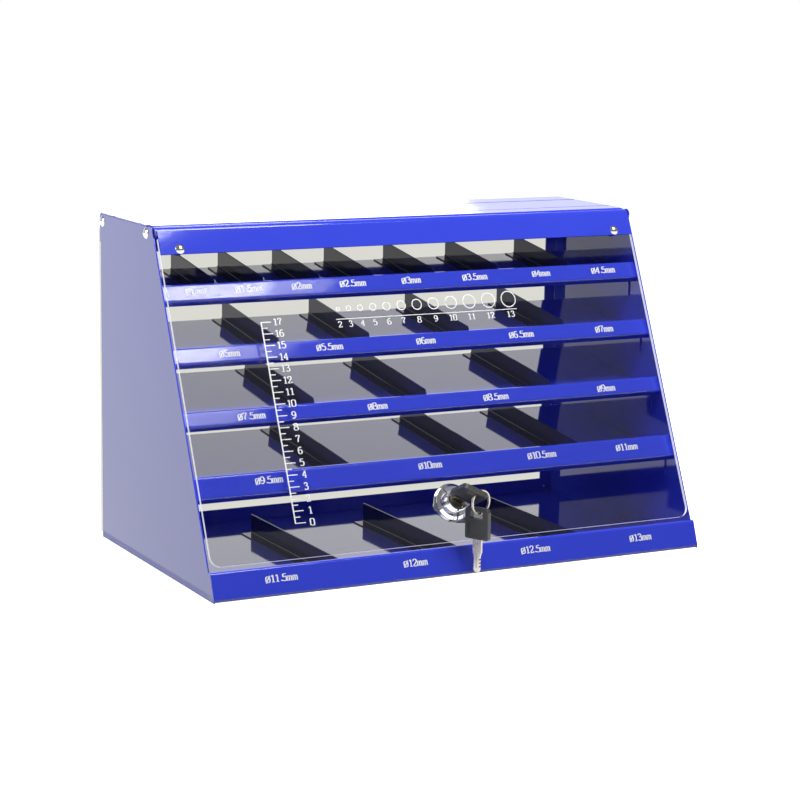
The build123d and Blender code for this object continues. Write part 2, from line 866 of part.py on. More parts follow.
print("hinge point:", hinge_point)
print("lock centre:", lock_centre, "outward:", outward, "across:", lock_across)
print("ring centre:", ring_centre, "ring normal:", ring_plane.z_dir)
print("ring bottom:", ring_bottom, "spare normal:", spare_frame.z_dir)
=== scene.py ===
import json
import math
import bpy
import numpy as np
from mathutils import Matrix, Vector
from mathutils.bvhtree import BVHTree


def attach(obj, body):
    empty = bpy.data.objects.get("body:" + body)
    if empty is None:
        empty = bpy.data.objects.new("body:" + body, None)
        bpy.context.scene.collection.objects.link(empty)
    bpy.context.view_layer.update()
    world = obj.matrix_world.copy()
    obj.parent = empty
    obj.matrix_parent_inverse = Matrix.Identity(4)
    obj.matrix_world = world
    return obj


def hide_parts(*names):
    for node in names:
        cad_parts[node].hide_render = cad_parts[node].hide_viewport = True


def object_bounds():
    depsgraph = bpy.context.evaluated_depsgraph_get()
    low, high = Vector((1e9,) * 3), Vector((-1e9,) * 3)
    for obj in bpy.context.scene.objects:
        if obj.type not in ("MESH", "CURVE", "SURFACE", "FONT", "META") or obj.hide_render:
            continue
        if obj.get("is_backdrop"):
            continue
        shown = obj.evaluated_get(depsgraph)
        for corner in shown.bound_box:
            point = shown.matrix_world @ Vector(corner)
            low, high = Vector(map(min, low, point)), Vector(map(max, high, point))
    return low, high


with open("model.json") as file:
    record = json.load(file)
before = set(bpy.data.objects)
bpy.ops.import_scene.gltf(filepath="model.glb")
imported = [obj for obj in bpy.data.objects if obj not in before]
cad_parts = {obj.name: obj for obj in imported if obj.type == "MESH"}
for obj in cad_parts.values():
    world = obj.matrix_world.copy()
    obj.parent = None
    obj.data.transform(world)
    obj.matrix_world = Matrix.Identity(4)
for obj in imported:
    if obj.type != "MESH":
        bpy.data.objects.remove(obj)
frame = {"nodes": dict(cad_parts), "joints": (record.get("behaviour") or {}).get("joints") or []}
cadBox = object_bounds()
nodes = frame["nodes"]
mm = 0.001  # in metres
print("frame loaded:", len(nodes), "parts")


def linearColour(hexCode):
    # sRGB hex to the linear red, green, blue and alpha that Blender's sockets hold
    parts = [int(hexCode[i:i + 2], 16) / 255 for i in (1, 3, 5)]
    return tuple(c / 12.92 if c <= 0.04045 else ((c + 0.055) / 1.055) ** 2.4 for c in parts) + (1.0,)


def addNode(material, kind, settings=None, links=None):
    # one node with its settings (socket or property values) and its incoming links
    node = material.node_tree.nodes.new(kind)
    for name, value in (settings or {}).items():
        if isinstance(name, int) or name in node.inputs:
            node.inputs[name].default_value = value
        else:
            setattr(node, name, value)
    for name, socket in (links or {}).items():
        material.node_tree.links.new(socket, node.inputs[name])
    return node


def startMaterial(name, settings):
    # a material with one Principled shader; settings go on its own sockets
    material = bpy.data.materials.new(name)
    material.use_nodes = True
    material.node_tree.nodes.clear()
    shader = addNode(material, "ShaderNodeBsdfPrincipled", settings)
    addNode(material, "ShaderNodeOutputMaterial", links={"Surface": shader.outputs["BSDF"]})
    return material, shader


def objectPoint(material):
    return addNode(material, "ShaderNodeTexCoord").outputs["Object"]


def link(material, socket, target):
    material.node_tree.links.new(socket, target)


# Steel sheet with a stoved gloss enamel: wet blue, faint orange peel, a hard clear top skin
enamel = {
    "roughness": 0.055,
    "spread": (0.8, 1.3),   # lowest and highest share of that roughness, from patch to patch
    "patchWidth": 90.0,     # mm, of patches that differ a little in colour and gloss
    "patchDetail": 2.0,
    "peelWidth": 3.2,       # mm from ripple to ripple
    "peelDepth": 0.006,     # mm
    "peelDetail": 1.0,
}
# The navy coat is the blue sheet's own enamel darkened as painted shade, for the dividers that stand in shade
# between the trays
enamelCoats = {
    "StovedBlueEnamel": {"colour": "#3345DC", "shade": "#2D3ED2", "ior": 1.5},
    "PaintedShadeNavyEnamel": {"colour": "#161C6E", "shade": "#121760", "ior": 1.25},  # painted shade: the blue enamel darkened, lower IOR for less shine
}


def makeEnamel(name):
    coat = enamelCoats[name]
    material, shader = startMaterial(name, {"IOR": coat["ior"]})
    point = objectPoint(material)
    patches = addNode(material, "ShaderNodeTexNoise", {
        "Scale": 1 / (enamel["patchWidth"] * mm), "Detail": enamel["patchDetail"],
    }, {"Vector": point})
    tint = addNode(material, "ShaderNodeMix", {
        "data_type": "RGBA", 6: linearColour(coat["colour"]), 7: linearColour(coat["shade"]),
    }, {0: patches.outputs["Fac"]})
    link(material, tint.outputs[2], shader.inputs["Base Color"])
    low, high = (enamel["roughness"] * share for share in enamel["spread"])
    gloss = addNode(material, "ShaderNodeMapRange", {"To Min": low, "To Max": high},
                    {"Value": patches.outputs["Fac"]})
    link(material, gloss.outputs["Result"], shader.inputs["Roughness"])
    peel = addNode(material, "ShaderNodeTexNoise", {
        "Scale": 1 / (enamel["peelWidth"] * mm), "Detail": enamel["peelDetail"],
    }, {"Vector": point})
    bump = addNode(material, "ShaderNodeBump", {"Strength": 1.0, "Distance": enamel["peelDepth"] * mm},
                   {"Height": peel.outputs["Fac"]})
    link(material, bump.outputs["Normal"], shader.inputs["Normal"])
    return material


# Cast acrylic sheet: nearly invisible face on, milky bright at its sawn edges, where white colour, high opacity and
# an emission glow paint the highlight of light the sheet gathers
acrylic = {
    "face": "#20242C",
    "edge": "#FFFFFF",
    "faceOpacity": 0.05,
    "edgeOpacity": 0.85,
    "paintedEdgeGlow": 0.55,       # painted highlight: emission at the edges, for light the sheet gathers and brings out there
    "edgeBelow": 0.6,       # cosine between a surface's direction and the sheet's: an edge below this
    "faceAbove": 0.95,      # and the sheet's face above this
    "roughness": 0.03,
    "ior": 1.49,
}


def makeAcrylic(faceDirection):
    material, shader = startMaterial("CastAcrylic", {
        "Emission Color": linearColour(acrylic["edge"]),
        "Roughness": acrylic["roughness"],
        "IOR": acrylic["ior"],
    })
    normal = addNode(material, "ShaderNodeNewGeometry").outputs["True Normal"]
    facing = addNode(material, "ShaderNodeVectorMath", {"operation": "DOT_PRODUCT", 1: tuple(faceDirection)},
                     {0: normal})
    flat = addNode(material, "ShaderNodeMath", {"operation": "ABSOLUTE"}, {0: facing.outputs["Value"]})
    # At the edges: high opacity and an emission glow, a painted highlight
    for target, atEdge, onFace in (("Alpha", acrylic["edgeOpacity"], acrylic["faceOpacity"]),
                                   ("Emission Strength", acrylic["paintedEdgeGlow"], 0.0)):
        blend = addNode(material, "ShaderNodeMapRange", {
            "From Min": acrylic["edgeBelow"], "From Max": acrylic["faceAbove"], "To Min": atEdge, "To Max": onFace,
        }, {"Value": flat.outputs[0]})
        link(material, blend.outputs["Result"], shader.inputs[target])
    # White base colour at the edges, part of the same painted highlight
    tint = addNode(material, "ShaderNodeMix", {
        "data_type": "RGBA", 6: linearColour(acrylic["edge"]), 7: linearColour(acrylic["face"]),
    }, {0: flat.outputs[0]})
    link(material, tint.outputs[2], shader.inputs["Base Color"])
    return material


# Grains that the finishes below show: noise detail, lowest and highest share of the roughness, bump strength
grains = {
    "scratched": {"detail": 3.0, "spread": (0.7, 1.4), "strength": 0.5},
    "pitted": {"detail": 2.0, "spread": (0.85, 1.2), "strength": 0.6},
}

# Metals, turned or rolled, and two dark cast or moulded finishes; grain width and depth in mm
finishes = {
    # polished plate over turned brass: mirror bright, faint turning marks
    "BrightChrome": {"colour": "#C9C9CE", "metallic": 1.0, "roughness": 0.1,
                     "grain": "scratched", "width": 0.9, "depth": 0.003},
    # passivated zinc on steel: blue-grey and satin
    "ZincPlatedSteel": {"colour": "#A9ADB2", "metallic": 1.0, "roughness": 0.28,
                        "grain": "scratched", "width": 0.5, "depth": 0.004},
    # barrel-plated stamped steel: warm grey with a soft shine
    "NickelPlatedSteel": {"colour": "#A8A39A", "metallic": 1.0, "roughness": 0.22,
                          "grain": "scratched", "width": 0.6, "depth": 0.004},
    # bare brass from the lathe: yellow and satin
    "TurnedBrass": {"colour": "#D9B470", "metallic": 1.0, "roughness": 0.22,
                    "grain": "scratched", "width": 0.4, "depth": 0.004},
    # plastic from a spark-eroded mould: matt, finely pitted
    "MouldedBlackPlastic": {"colour": "#3A3A37", "metallic": 0.0, "roughness": 0.42,
                            "grain": "pitted", "width": 0.35, "depth": 0.02},
    # blackened die casting: dark with half a metal's sheen
    "BlackenedZinc": {"colour": "#5A5850", "metallic": 0.7, "roughness": 0.35,
                      "grain": "pitted", "width": 0.5, "depth": 0.01},
}


def makeFinish(name):
    values = finishes[name]
    kind = grains[values["grain"]]
    material, shader = startMaterial(name, {
        "Base Color": linearColour(values["colour"]), "Metallic": values["metallic"],
    })
    grain = addNode(material, "ShaderNodeTexNoise", {
        "Scale": 1 / (values["width"] * mm), "Detail": kind["detail"],
    }, {"Vector": objectPoint(material)})
    low, high = (values["roughness"] * share for share in kind["spread"])
    shine = addNode(material, "ShaderNodeMapRange", {"To Min": low, "To Max": high}, {"Value": grain.outputs["Fac"]})
    link(material, shine.outputs["Result"], shader.inputs["Roughness"])
    bump = addNode(material, "ShaderNodeBump", {"Strength": kind["strength"], "Distance": values["depth"] * mm},
                   {"Height": grain.outputs["Fac"]})
    link(material, bump.outputs["Normal"], shader.inputs["Normal"])
    return material


# Screen-printed ink: opaque white, a little uneven where the mesh lifted
ink = {
    "colour": "#F2F3F6",
    "roughness": 0.45,
    "spread": (0.8, 1.2),   # lowest and highest share of that roughness
    "meshPitch": 0.5,       # mm
    "detail": 1.0,
}


def makeInk():
    material, shader = startMaterial("ScreenPrintWhite", {"Base Color": linearColour(ink["colour"])})
    weave = addNode(material, "ShaderNodeTexNoise", {
        "Scale": 1 / (ink["meshPitch"] * mm), "Detail": ink["detail"],
    }, {"Vector": objectPoint(material)})
    low, high = (ink["roughness"] * share for share in ink["spread"])
    shine = addNode(material, "ShaderNodeMapRange", {"To Min": low, "To Max": high}, {"Value": weave.outputs["Fac"]})
    link(material, shine.outputs["Result"], shader.inputs["Roughness"])
    return material


def paint(material, *names):
    for name in names:
        for place in nodes[name].material_slots:
            place.material = material


# Outward direction of the sloping front, from the lock's axis in the frame
joints = {joint["name"]: joint for joint in frame["joints"]}
outward = Vector(joints["lock_turn"]["axis"]).normalized()
rightward = Vector((1, 0, 0))
upslope = outward.cross(rightward)

enamelMaterial = makeEnamel("StovedBlueEnamel")
dividerPaintedShade = makeEnamel("PaintedShadeNavyEnamel")
acrylicMaterial = makeAcrylic(outward)
chrome = makeFinish("BrightChrome")
zincSteel = makeFinish("ZincPlatedSteel")
nickel = makeFinish("NickelPlatedSteel")
brass = makeFinish("TurnedBrass")
blackPlastic = makeFinish("MouldedBlackPlastic")
blackZinc = makeFinish("BlackenedZinc")
inkMaterial = makeInk()

paint(enamelMaterial, *[n for n in nodes if n.startswith("tray_")])
paint(enamelMaterial, "left_side_panel", "right_side_panel", "bottom_panel", "front_rail", "rear_rail", "top_panel",
      "lid_band")
# Dividers get the darkened blue enamel: painted shade for the dim space between the trays
paint(dividerPaintedShade, *[n for n in nodes if n.startswith("divider_")])
paint(acrylicMaterial, "front_pane")
paint(chrome, "rail_rivets", "post_rivets", "band_screws", "band_nuts", "lock_ring_nut", "lock_washer")
paint(zincSteel, "hinge_rod", "lock_stop_disc", "lock_cam", "cam_screw")
paint(nickel, "key_blade", "spare_key_blade")
paint(brass, "lock_plug")
paint(blackZinc, "plug_cap")
paint(blackPlastic, "key_head", "spare_key_head")
print("materials made and painted")


# Printed lettering: a broad pen draws each stroke, wide going down and thin going across
lettering = {
    "widen": 1.12,          # figures' width against the drawn one
    "lift": 0.04,           # mm of ink above the enamel
    "steps": 28,            # points along a curved stroke
}

# Strokes of each sign as control points in a box 0.62 wide and 1 high
signs = {
    "0": [[(.31, 0), (.06, .1), (.04, .5), (.06, .9), (.31, 1), (.56, .9), (.58, .5), (.56, .1), (.31, 0)]],
    "1": [[(.12, .82), (.34, 1)], [(.34, 1), (.34, 0)], [(.14, 0), (.54, 0)]],
    "2": [[(.08, .74), (.12, .95), (.34, 1.02), (.54, .86), (.5, .6), (.26, .28), (.07, .02)],
          [(.07, 0), (.57, 0)], [(.57, 0), (.58, .16)]],
    "3": [[(.08, .84), (.26, 1.01), (.5, .92), (.5, .66), (.26, .54)],
          [(.26, .54), (.55, .46), (.56, .12), (.32, -.01), (.07, .1)]],
    "4": [[(.44, 0), (.44, 1)], [(.44, 1), (.04, .3)], [(.04, .28), (.6, .28)], [(.3, 0), (.58, 0)]],
    "5": [[(.14, 1), (.56, 1)], [(.14, 1), (.12, .56)],
          [(.12, .56), (.36, .66), (.58, .46), (.54, .1), (.3, -.01), (.07, .09)]],
    "6": [[(.54, .9), (.34, 1.01), (.08, .7), (.05, .3), (.2, 0), (.46, .02), (.58, .3), (.44, .56), (.2, .54),
           (.07, .34)]],
    "7": [[(.06, .8), (.07, 1)], [(.07, 1), (.58, 1)], [(.58, 1), (.34, .5), (.26, 0)]],
    "8": [[(.31, .54), (.08, .68), (.12, .95), (.31, 1.01), (.5, .95), (.54, .68), (.31, .54)],
          [(.31, .54), (.04, .36), (.08, .06), (.31, -.01), (.54, .06), (.58, .36), (.31, .54)]],
    "9": [[(.08, .1), (.28, -.01), (.54, .3), (.57, .7), (.42, 1), (.16, .98), (.04, .7), (.18, .44),
           (.42, .46), (.55, .66)]],
    ".": [[(.31, 0), (.31, .19)]],
    "m": [[(.0, .62), (.1, .64)], [(.1, .64), (.1, 0)], [(.0, 0), (.22, 0)],
          [(.1, .46), (.2, .63), (.34, .62), (.38, .44), (.38, 0)], [(.29, 0), (.49, 0)],
          [(.38, .46), (.5, .63), (.63, .62), (.67, .44), (.67, 0)], [(.58, 0), (.78, 0)]],
    "d": [[(.33, 0), (.1, .08), (.06, .4), (.1, .74), (.33, .82), (.56, .74), (.6, .4), (.56, .08), (.33, 0)],
          [(.04, -.1), (.64, .94)]],
}
signAdvance = {".": 0.62, "m": 1.32, "d": 1.18}  # against a figure's


def smoothPath(points, steps):
    # Catmull-Rom curve: each point of the path is a cubic blend of the four control points about it;
    # two control points are a straight stroke
    p = np.array(points, float)
    if len(p) == 2:
        return p
    closed = np.allclose(p[0], p[-1])
    before = p[-2] if closed else 2 * p[0] - p[1]
    after = p[1] if closed else 2 * p[-1] - p[-2]
    full = np.vstack([before, p, after])
    u = np.linspace(0, len(p) - 1 - 1e-9, steps)
    i = u.astype(int)
    t = (u - i)[:, None]
    a, b, c, d = full[i], full[i + 1], full[i + 2], full[i + 3]
    return 0.5 * (2 * b + (c - a) * t + (2 * a - 5 * b + 4 * c - d) * t ** 2 + (3 * b - a - 3 * c + d) * t ** 3)


def penStroke(path, pen):
    # Ribbon: each path point gives two, half the pen's width to either side of its direction
    slope = np.gradient(path, axis=0)
    slope /= np.maximum(np.linalg.norm(slope, axis=1), 1e-9)[:, None]
    side = np.stack([-slope[:, 1], slope[:, 0]], 1)
    down, across = pen
    half = (across + (down - across) * np.abs(slope[:, 1]))[:, None] / 2
    left, right = path + side * half, path - side * half
    count = len(path)
    quads = np.stack([np.arange(count - 1), np.arange(1, count), np.arange(1, count) + count,
                      np.arange(count - 1) + count], 1)
    return np.vstack([left, right]), quads


def joined(shapes):
    # several (points, faces) pairs as one, with the faces counted on
    offset, points, faces = 0, [], []
    for p, f in shapes:
        points.append(p)
        faces.append(f + offset)
        offset += len(p)
    return np.vstack(points), np.vstack(faces)


def wordShape(text, style):
    # Signs side by side, centred on the origin, in millimetres
    shapes, x = [], 0.0
    for sign in text:
        for stroke in signs[sign]:
            path = smoothPath(stroke, lettering["steps"])
            path = path * (style["height"] * lettering["widen"], style["height"])
            path[:, 0] += x
            shapes.append(penStroke(path, style["pen"]))
        x += style["advance"] * signAdvance.get(sign, 1.0)
    points, faces = joined(shapes)
    points -= (points.max(0) + points.min(0)) / 2
    return points, faces


def meshPiece(name, points, faces, material, body):
    # a finished piece: its place is in its mesh and its object sits at the origin
    mesh = bpy.data.meshes.new(name)
    mesh.from_pydata(np.asarray(points, float).tolist(), [], np.asarray(faces).tolist())
    mesh.update()
    mesh.materials.append(material)
    piece = bpy.data.objects.new(name, mesh)
    bpy.context.scene.collection.objects.link(piece)
    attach(piece, body)
    return piece


def treeOf(nodeName):
    mesh = nodes[nodeName].data
    return BVHTree.FromPolygons([v.co for v in mesh.vertices], [list(p.vertices) for p in mesh.polygons])


rayLead = 0.1  # m in front of the object, where a ray starts


def frontHit(nodeName, places):
    # where level rays from the front meet a part, and the direction up its surface there
    tree = treeOf(nodeName)
    for x, z in places:
        start = Vector((x * mm, cadBox[0][1] - rayLead, z * mm))
        place, normal, _, _ = tree.ray_cast(start, Vector((0, 1, 0)))
        yield place, normal.cross(rightward)


def placed(points, origin, up):
    # flat shape points in millimetres, laid on a sloping plane in the frame with the ink's lift
    normal = np.array(rightward.cross(up))
    return (np.array(origin) + np.outer(points[:, 0] * mm, rightward) + np.outer(points[:, 1] * mm, up)
            + normal * lettering["lift"] * mm)


# Size labels on each row's lip; drill sizes, places across and the height of the row of labels in mm
labels = {
    "height": 5.6,          # mm, of a figure
    "advance": 3.85,        # mm from figure to figure
    "pen": (1.2, 0.6),      # mm, width of a downstroke and of a cross stroke
    "sizeStep": 0.5,        # mm from one compartment's drills to the next
}
labelRows = {
    "tray_1": {"first": 1.0, "height": 233.6,
               "across": [-198.6, -151.1, -102.8, -55.0, 0.8, 63.3, 130.2, 194.6]},
    "tray_2": {"first": 5.0, "height": 184.2, "across": [-178.1, -87.0, 4.2, 98.4, 183.5]},
    "tray_3": {"first": 7.5, "height": 135.1, "across": [-168.1, -52.6, 61.5, 173.2]},
    "tray_4": {"first": 9.5, "height": 85.6, "across": [-162.2, -13.5, 95.7, 182.3]},
    "bottom_panel": {"first": 11.5, "height": 14.0, "across": [-169.3, -47.7, 67.2, 172.7]},
}


def printLabels():
    for nodeName, row in labelRows.items():
        shapes = []
        places = [(x, row["height"]) for x in row["across"]]
        for index, (place, up) in enumerate(frontHit(nodeName, places)):
            size = row["first"] + labels["sizeStep"] * index
            points, faces = wordShape(f"d{size:g}mm", labels)
            shapes.append((placed(points, place, up), faces))
        points, faces = joined(shapes)
        meshPiece("size_labels_" + nodeName, points, faces, inkMaterial, "housing")


printLabels()
print("size labels printed")


def wovenFaces(rows, around, closed):
    # quads between neighbouring rows of a grid that wraps round; an open one gets flat ends
    i, j = np.meshgrid(np.arange(rows if closed else rows - 1), np.arange(around), indexing="ij")
    k, nextRow = (j + 1) % around, (i + 1) % rows
    quads = np.stack([i * around + j, i * around + k, nextRow * around + k, nextRow * around + j], -1)
    quads = quads.reshape(-1, 4)
    if closed:
        return quads
    c = np.arange(around // 2 - 1)
    cap = np.stack([c + 1, c, around - 1 - c, around - 2 - c], 1)
    return np.vstack([quads, cap, cap[:, ::-1] + (rows - 1) * around])


sharpAngle = 40  # degrees, above which an edge of a metal piece stays crisp


def solidPiece(name, nodeName, points, faces, material, body):
    # closed metal piece in place of a CAD node, faces turned outwards, smooth but for its sharp edges
    a, b, c, d = (points[faces[:, i]] for i in range(4))
    volume = np.einsum("ij,ij->", a, np.cross(b, c) + np.cross(c, d))
    piece = meshPiece(name, points, faces if volume > 0 else faces[:, ::-1], material, body)
    piece.data.shade_smooth()
    piece.data.set_sharp_from_angle(angle=math.radians(sharpAngle))
    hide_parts(nodeName)


# Split ring: flat wire wound twice round, its two turns side by side
splitRing = {
    "outer": 10.5,          # mm, radius
    "wire": 1.6,            # mm, radially
    "turnWidth": 0.94,      # mm, of one turn along the axis
    "pitch": 1.0,           # mm from turn to turn
    "start": 2.2,           # radians round to the wire's end
    "stepLength": 0.5,      # radians over which it steps across
    "openEnds": 0.1,        # radians short of two full turns
    "squareness": 0.45,     # power of the section's sine and cosine: 1 is an oval, 0 a rectangle
    "steps": 240,           # points along the wire
    "section": 16,          # and round its section
}


def squared(wave):
    # a sine or cosine with flatter tops and steeper sides
    return np.sign(wave) * np.abs(wave) ** splitRing["squareness"]


def makeSplitRing():
    # radius and offset along the axis follow a squared oval, carried round two turns
    values = splitRing
    joint = joints["ring_turn"]
    centre, axis = Vector(joint["pos_m"]), Vector(joint["axis"]).normalized()
    ahead = axis.cross(Vector((0, 0, 1))).normalized()
    side = axis.cross(ahead)
    turn = np.linspace(0, 4 * np.pi - values["openEnds"], values["steps"])
    across = np.clip((turn - 2 * np.pi) / values["stepLength"] + 0.5, 0, 1)
    across = (across * across * (3 - 2 * across) - 0.5) * values["pitch"]
    v = np.linspace(0, 2 * np.pi, values["section"], endpoint=False)
    radius = values["outer"] - values["wire"] / 2 * (1 - squared(np.cos(v)))
    offset = across[:, None] + values["turnWidth"] / 2 * squared(np.sin(v))
    angle = (turn + values["start"])[:, None, None]
    spoke = np.cos(angle) * np.array(ahead) + np.sin(angle) * np.array(side)
    points = np.array(centre) + mm * (radius[None, :, None] * spoke + offset[:, :, None] * np.array(axis))
    faces = wovenFaces(values["steps"], values["section"], False)
    solidPiece("split_ring", "key_ring", points.reshape(-1, 3), faces, nickel, "key_ring")


# Lock barrel: fine thread on both sides of its flange, bevelled rim; all in mm, places along the axis
barrel = {
    "thread": 9.5,          # radius over the thread
    "pitch": 1.25,
    "depth": 0.45,
    "bore": 6.8,            # radius
    "rear": -11.0,
    "flange": (12.0, -2.5, -0.5),  # radius, rear and front
    "threadEnd": 14.2,
    "rim": 15.5,
    "bevel": 0.8,
    "around": 80,           # points round it
    "rowsPerPitch": 8,
}


def makeBarrel():
    # surface of revolution; in the threaded rows the radius also waves with height less the turned share
    # of a pitch
    b = barrel
    centre = np.array(Vector(joints["lock_turn"]["pos_m"]))
    rise = b["pitch"] / b["rowsPerPitch"]
    flangeRadius, flangeRear, flangeFront = b["flange"]
    rows = [(b["rear"], b["bore"], 0)]
    rows += [(z, b["thread"], 1) for z in np.arange(b["rear"], flangeRear, rise)]
    rows += [(flangeRear, b["thread"], 0), (flangeRear, flangeRadius, 0), (flangeFront, flangeRadius, 0),
             (flangeFront, b["thread"], 0)]
    rows += [(z, b["thread"], 1) for z in np.arange(flangeFront + rise, b["threadEnd"], rise)]
    rows += [(b["threadEnd"], b["thread"], 0), (b["rim"] - b["bevel"], b["thread"], 0),
             (b["rim"], b["thread"] - b["bevel"], 0), (b["rim"], b["bore"] + b["bevel"], 0),
             (b["rim"] - b["bevel"], b["bore"], 0)]
    height, radius, threaded = (np.array(column, float)[:, None] for column in zip(*rows))
    angle = np.linspace(0, 2 * np.pi, b["around"], endpoint=False)[None, :]
    wave = 0.5 - 0.5 * np.cos(2 * np.pi * height / b["pitch"] - angle)
    radius = radius - threaded * b["depth"] * wave
    spoke = np.cos(angle)[..., None] * np.array(rightward) + np.sin(angle)[..., None] * np.array(upslope)
    points = centre + mm * (radius[..., None] * spoke + height[..., None] * np.array(outward))
    faces = wovenFaces(len(rows), b["around"], True)
    solidPiece("threaded_barrel", "lock_barrel", points.reshape(-1, 3), faces, chrome, "lid")


makeSplitRing()
makeBarrel()
print("split ring and threaded barrel made")


# Prints on the clear front: a row of rings to try a drill against, and a ruler down the left side; in mm
gauge = {
    "left": -78.0,          # across, of the row's left end
    "height": 236.0,        # up the slope
    "sizes": [2, 3, 4, 5, 6, 7, 8, 9, 10, 11, 12, 13],
    "gap": 7.5,
    "line": 0.9,
    "underline": (9.4, 8.8),  # bottom and top of the line under the rings
    "overhang": 2.0,        # of that line at the left
    "figureDrop": 13.5,
    "figures": {"height": 5.0, "advance": 3.9, "pen": (1.0, 0.45)},
}
ruler = {
    "across": -148.0,       # of the edge line's right side
    "bottom": 58.0,         # up the slope
    "centimetres": 17,
    "halfStep": 5.0,        # half a centimetre
    "halfTick": 4.5,
    "wholeTick": 8.5,
    "tick": 0.8,
    "edge": 1.2,
    "figureReach": 14.5,
    "figures": {"height": 5.6, "advance": 4.032, "pen": (1.1, 0.55)},
}
paneAim = (0.0, 150.0)      # mm across and up, where the ray that finds the front's plane meets it


def ringShape(centre, outer, inner, count=64):
    # Flat ring: outer and inner circles about the same centre
    turn = np.linspace(0, 2 * np.pi, count, endpoint=False)
    unit = np.stack([np.cos(turn), np.sin(turn)], 1)
    i = np.arange(count)
    j = (i + 1) % count
    faces = np.stack([i, j, j + count, i + count], 1)
    return np.vstack([unit * outer, unit * inner]) + np.array(centre), faces


def barShape(x0, x1, y0, y1):
    return np.array([[x0, y0], [x1, y0], [x1, y1], [x0, y1]], float), np.array([[0, 1, 2, 3]])


def printPane():
    shapes = []
    x, y = gauge["left"], gauge["height"]
    for size in gauge["sizes"]:
        x += size / 2
        shapes.append(ringShape((x, y), size / 2 + gauge["line"], size / 2))
        points, faces = wordShape(str(size), gauge["figures"])
        shapes.append((points + np.array([x, y - gauge["figureDrop"]]), faces))
        x += size / 2 + gauge["gap"]
    low, high = gauge["underline"]
    shapes.append(barShape(gauge["left"] - gauge["overhang"], x - gauge["gap"], y - low, y - high))
    x, y, half = ruler["across"], ruler["bottom"], ruler["tick"] / 2
    halves = ruler["centimetres"] * 2
    shapes.append(barShape(x - ruler["edge"], x, y - half, y + halves * ruler["halfStep"] + half))
    for step in range(halves + 1):
        level = y + ruler["halfStep"] * step
        reach = ruler["halfTick"] if step % 2 else ruler["wholeTick"]
        shapes.append(barShape(x, x + reach, level - half, level + half))
        if step % 2 == 0:
            points, faces = wordShape(str(step // 2), ruler["figures"])
            shapes.append((points + np.array([x + ruler["figureReach"], level]), faces))
    points, faces = joined(shapes)
    place, up = next(frontHit("front_pane", [paneAim]))
    foot = place - up * (place.z / up.z)
    meshPiece("pane_print", placed(points, foot, up), faces, inkMaterial, "lid")


printPane()
print("clear front printed")


# Studio: pale floor, white surround, three soft lights and five glowing cards
studio = {
    "floorSize": 12.0,      # m
    "floorColour": "#FFFFFF",
    "floorRoughness": 0.9,
    "floorGlow": 1.0,       # a light table, so the floor stays white under the stand
    "surroundColour": "#FFFFFF",
    "surroundSeen": 1.0,    # white behind the object
    "surroundShine": 0.3,   # what the enamel mirrors
    "surroundLight": 0.07,  # what lights it
}
softLights = {
    "FrontSoftLight": {"place": (0.11, -0.73, 1.43), "aim": (0.0, 0.0, 0.15), "size": 0.9, "power": 27.0},
    "LeftSoftLight": {"place": (-1.2, 0.1, 0.6), "aim": (0.0, 0.1, 0.15), "size": 0.7, "power": 4.0},
    "RearSoftLight": {"place": (0.5, 1.3, 0.7), "aim": (0.0, 0.1, 0.15), "size": 0.8, "power": 3.0},
}
rear = cadBox[1][1]
# Cards light nothing: they are what the gloss mirrors, and the rear one is also the white behind the open
# back, so the camera sees it. The flag is the dim one, and keeps the clear front's reflection dark
cards = {
    "RearCard": {"corner": (-0.226, rear + 0.012, 0.001), "along": (0.452, 0, 0), "up": (0, 0, 0.27),
                 "colour": "#E4E4DC", "glow": 1.0, "shine": 1.8, "camera": True},
    "HighRearCard": {"corner": (-2.5, 1.9, 0.35), "along": (5.0, 0, 0), "up": (0, 0.3, 1.2),
                     "colour": "#FFFFFF", "glow": 1.15, "camera": False},
    "LeftCard": {"corner": (-3.0, -0.6, 0.002), "along": (2.765, 0, 0), "up": (0, 4.0, 0),
                 "colour": "#FFFFFF", "glow": 2.0, "camera": False},
    "HighlightCard": {"corner": (0.3, -2.004, 2.15), "along": (0.52, 0.365, 0.34), "up": (0.68, 0, 0),
                      "colour": "#FFFFDC", "glow": 7.0, "camera": False},
    "DarkFlag": {"corner": (0.4, -2.75, 1.6), "along": (0, 1.1, 1.02), "up": (2.2, 0, 0),
                 "colour": "#FFFFFF", "glow": 0.42, "camera": False},
}


def stagePlane(name, corner, along, up, material):
    corner, along, up = (Vector(v) for v in (corner, along, up))
    mesh = bpy.data.meshes.new(name)
    corners = [corner, corner + along, corner + along + up, corner + up]
    mesh.from_pydata([tuple(c) for c in corners], [], [(0, 1, 2, 3)])
    mesh.materials.append(material)
    plane = bpy.data.objects.new(name, mesh)
    bpy.context.scene.collection.objects.link(plane)
    plane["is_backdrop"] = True
    return plane


def makeFloor():
    material, _ = startMaterial("PaleFloor", {
        "Base Color": linearColour(studio["floorColour"]),
        "Roughness": studio["floorRoughness"],
        "Emission Color": linearColour(studio["floorColour"]),
        "Emission Strength": studio["floorGlow"],
    })
    side = studio["floorSize"]
    floor = stagePlane("StudioFloor", (-side / 2, -side / 2, 0), (side, 0, 0), (0, side, 0), material)
    floor.visible_diffuse = False


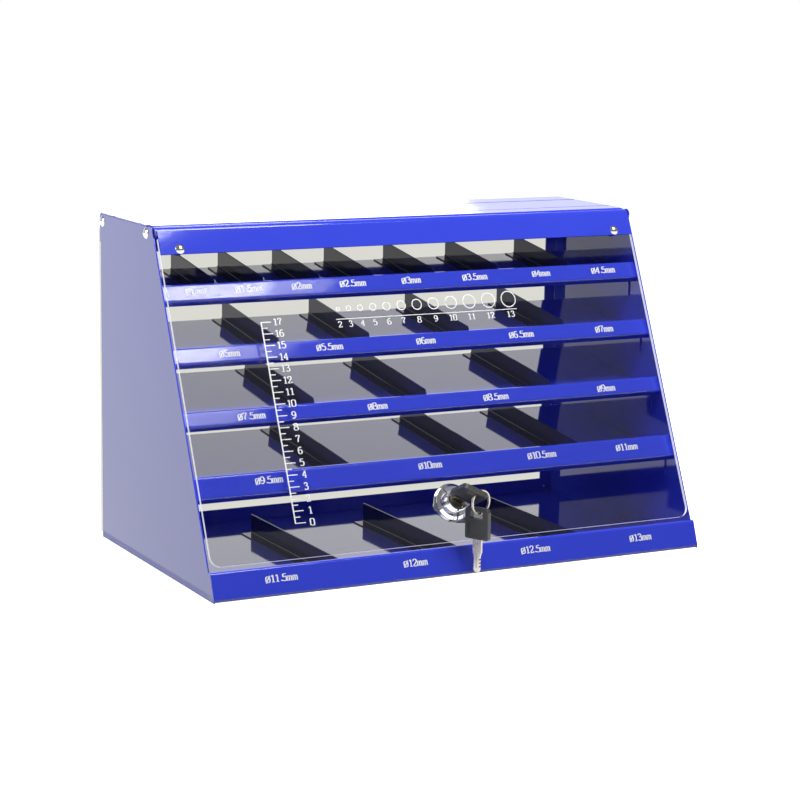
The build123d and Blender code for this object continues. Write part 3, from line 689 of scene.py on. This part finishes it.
def makeCard(name):
    # Glows to the front only: from behind it lets everything through
    card = cards[name]
    material = bpy.data.materials.new(name)
    material.use_nodes = True
    material.node_tree.nodes.clear()
    seen = addNode(material, "ShaderNodeLightPath").outputs["Is Camera Ray"]
    shine = card.get("shine", card["glow"])
    strength = addNode(material, "ShaderNodeMapRange", {"To Min": shine, "To Max": card["glow"]}, {"Value": seen})
    glow = addNode(material, "ShaderNodeEmission", {"Color": linearColour(card["colour"])},
                   {"Strength": strength.outputs["Result"]})
    clear = addNode(material, "ShaderNodeBsdfTransparent")
    back = addNode(material, "ShaderNodeNewGeometry").outputs["Backfacing"]
    mix = addNode(material, "ShaderNodeMixShader", links={0: back, 1: glow.outputs[0], 2: clear.outputs[0]})
    addNode(material, "ShaderNodeOutputMaterial", links={"Surface": mix.outputs[0]})
    plane = stagePlane(name, card["corner"], card["along"], card["up"], material)
    plane.visible_diffuse = False
    plane.visible_shadow = False
    plane.visible_camera = card["camera"]


def makeSurround():
    world = bpy.data.worlds.new("WhiteSurround")
    bpy.context.scene.world = world
    world.use_nodes = True
    path = addNode(world, "ShaderNodeLightPath")
    shine = addNode(world, "ShaderNodeMix", {2: studio["surroundLight"], 3: studio["surroundShine"]},
                    {0: path.outputs["Is Glossy Ray"]})
    seen = addNode(world, "ShaderNodeMix", {3: studio["surroundSeen"]},
                   {0: path.outputs["Is Camera Ray"], 2: shine.outputs[0]})
    background = world.node_tree.nodes["Background"]
    background.inputs["Color"].default_value = linearColour(studio["surroundColour"])
    world.node_tree.links.new(seen.outputs[0], background.inputs["Strength"])


def makeSoftLight(name):
    values = softLights[name]
    light = bpy.data.lights.new(name, "AREA")
    light.shape = "DISK"
    light.energy = values["power"]
    light.size = values["size"]
    lamp = bpy.data.objects.new(name, light)
    lamp.location = values["place"]
    aim = Vector(values["aim"]) - Vector(values["place"])
    lamp.rotation_euler = aim.to_track_quat("-Z", "Y").to_euler()
    bpy.context.scene.collection.objects.link(lamp)


makeFloor()
makeSurround()
for cardName in cards:
    makeCard(cardName)
for lightName in softLights:
    makeSoftLight(lightName)

# Camera at the photograph's angle
view = {
    "place": (-0.94743, -1.81773, 0.49884),
    "heading": 27.51,       # degrees from straight back towards the right
    "tip": 10.29,           # degrees down
    "roll": 0.86,
    "lens": 107.59,         # mm
    "sensor": 36.0,         # mm
    "clipEnd": 50,          # m
}


def makeCamera():
    heading, tip, roll = (math.radians(view[k]) for k in ("heading", "tip", "roll"))
    forward = Vector((math.sin(heading) * math.cos(tip), math.cos(heading) * math.cos(tip), -math.sin(tip)))
    flatRight = forward.cross(Vector((0, 0, 1))).normalized()
    flatUp = flatRight.cross(forward)
    right = flatRight * math.cos(roll) + flatUp * math.sin(roll)
    up = flatUp * math.cos(roll) - flatRight * math.sin(roll)
    lens = bpy.data.cameras.new("PhotoCamera")
    lens.lens = view["lens"]
    lens.sensor_width = view["sensor"]
    lens.clip_end = view["clipEnd"]
    camera = bpy.data.objects.new("PhotoCamera", lens)
    turn = Matrix((right, up, -forward)).transposed().to_4x4()
    camera.matrix_world = Matrix.Translation(view["place"]) @ turn
    bpy.context.scene.collection.objects.link(camera)
    bpy.context.scene.camera = camera


makeCamera()
bpy.context.scene.view_settings.view_transform = "Standard"
print("studio and camera ready")

boxes = {"cad": cadBox, "visual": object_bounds()}
{name: [list(map(float, corner)) for corner in box] for name, box in boxes.items()}
